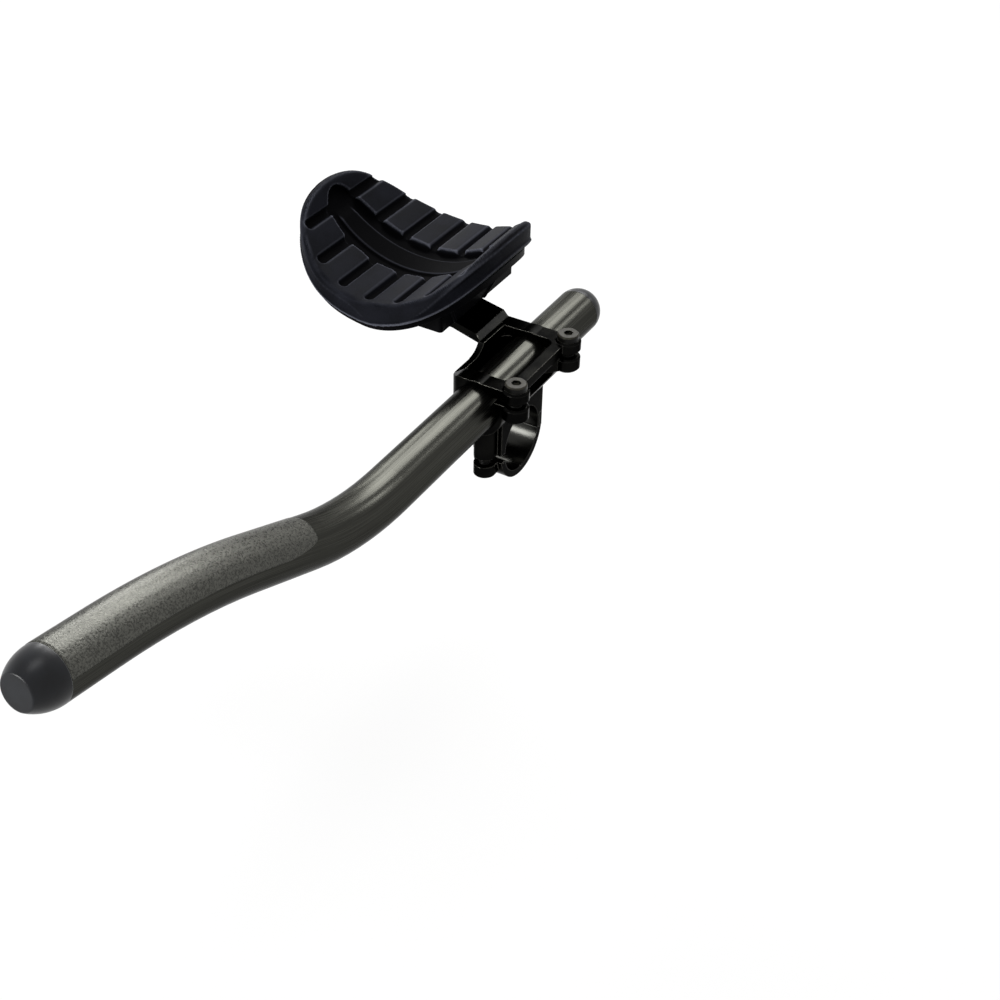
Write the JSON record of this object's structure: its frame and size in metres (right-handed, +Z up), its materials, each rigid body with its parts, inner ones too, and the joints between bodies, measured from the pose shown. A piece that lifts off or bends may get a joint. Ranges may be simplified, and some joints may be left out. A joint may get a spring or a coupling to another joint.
{
  "type": "aero handlebar extension",
  "caption": "Clip-on aero bar: a gently upswept carbon tube pinched in a clamp for a round handlebar, with an arm that carries a grooved, trough-shaped forearm pad.",
  "frame": {"origin": "middle of the handlebar bore, on the handlebar's axis", "axes": "+X forward along the extension tube, +Y inboard along the handlebar, +Z up"},
  "size_m": [0.3855, 0.1402, 0.1131],
  "materials": {
    "carbon_tube": "satin carbon laminate",
    "plug_rubber": "matte moulded",
    "black_aluminium": "black anodised",
    "bolt_steel": "satin",
    "cup_plastic": "moulded satin",
    "pad_foam": "moulded closed-cell foam",
    "hook_loop": "woven"
  },
  "bodies": {
    "root": {"extension_tube": "carbon_tube", "front_plug": "plug_rubber", "rear_plug": "plug_rubber", "clamp_body": "black_aluminium", "bar_clamp_jaw": "black_aluminium", "front_pinch_bolt": "bolt_steel", "rear_pinch_bolt": "bolt_steel", "jaw_bolt": "bolt_steel", "inner_cup_bolt": "bolt_steel", "outer_cup_bolt": "bolt_steel", "armrest_cup": "cup_plastic", "armrest_pad": "pad_foam", "front_pad_fastener": "hook_loop", "rear_pad_fastener": "hook_loop"}
  },
  "joints": []
}
